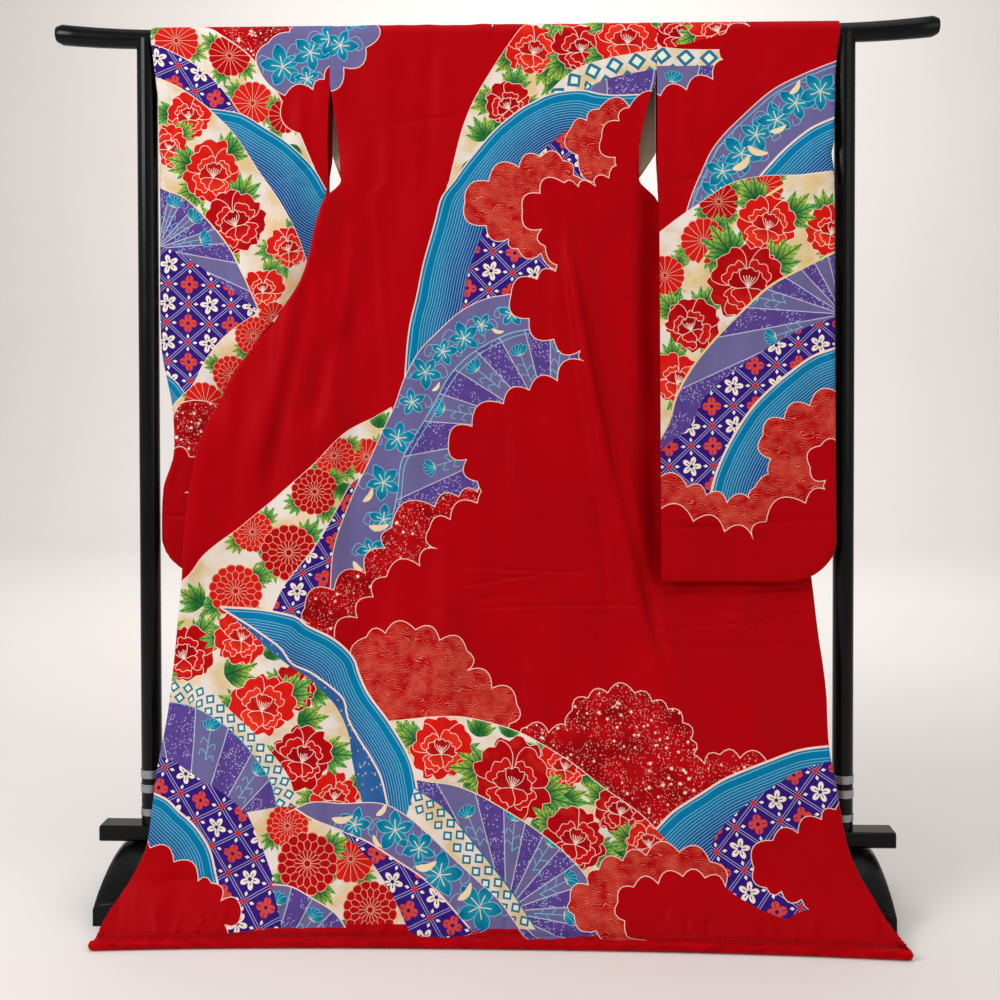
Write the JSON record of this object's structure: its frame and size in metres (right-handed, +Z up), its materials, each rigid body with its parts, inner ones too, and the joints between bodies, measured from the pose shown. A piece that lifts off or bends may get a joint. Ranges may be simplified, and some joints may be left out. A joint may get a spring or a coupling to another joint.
{
  "type": "bridal furisode on a kimono stand",
  "caption": "Long-sleeved trailing kimono with a padded hem, hung by its sleeves over the bar of a black lacquered floor stand.",
  "frame": {"origin": "on the floor, under the middle of the whole: bounding box bottom centre", "axes": "+X along the bar, with the garment's left sleeve as seen from behind at -X; the garment's back faces -Y; +Z up"},
  "size_m": [1.718, 0.4731, 1.711],
  "materials": {
    "printed_silk": "printed crepe silk, soft sheen",
    "plain_silk": "plain red silk, soft sheen",
    "lacquer": "black gloss lacquer",
    "silver": "satin plated metal"
  },
  "bodies": {
    "root": {"top_bar": "lacquer", "rail": "lacquer", "post_left": "lacquer", "post_right": "lacquer", "foot_left": "lacquer", "foot_right": "lacquer", "band_left_1": "silver", "band_left_2": "silver", "band_left_3": "silver", "band_right_1": "silver", "band_right_2": "silver", "band_right_3": "silver", "back_left": "printed_silk", "back_right": "printed_silk", "front_left": "printed_silk", "front_right": "printed_silk", "overlap_left": "printed_silk", "overlap_right": "printed_silk", "sleeve_left": "printed_silk", "sleeve_right": "printed_silk", "collar": "plain_silk", "hem_roll": "plain_silk"}
  },
  "joints": []
}
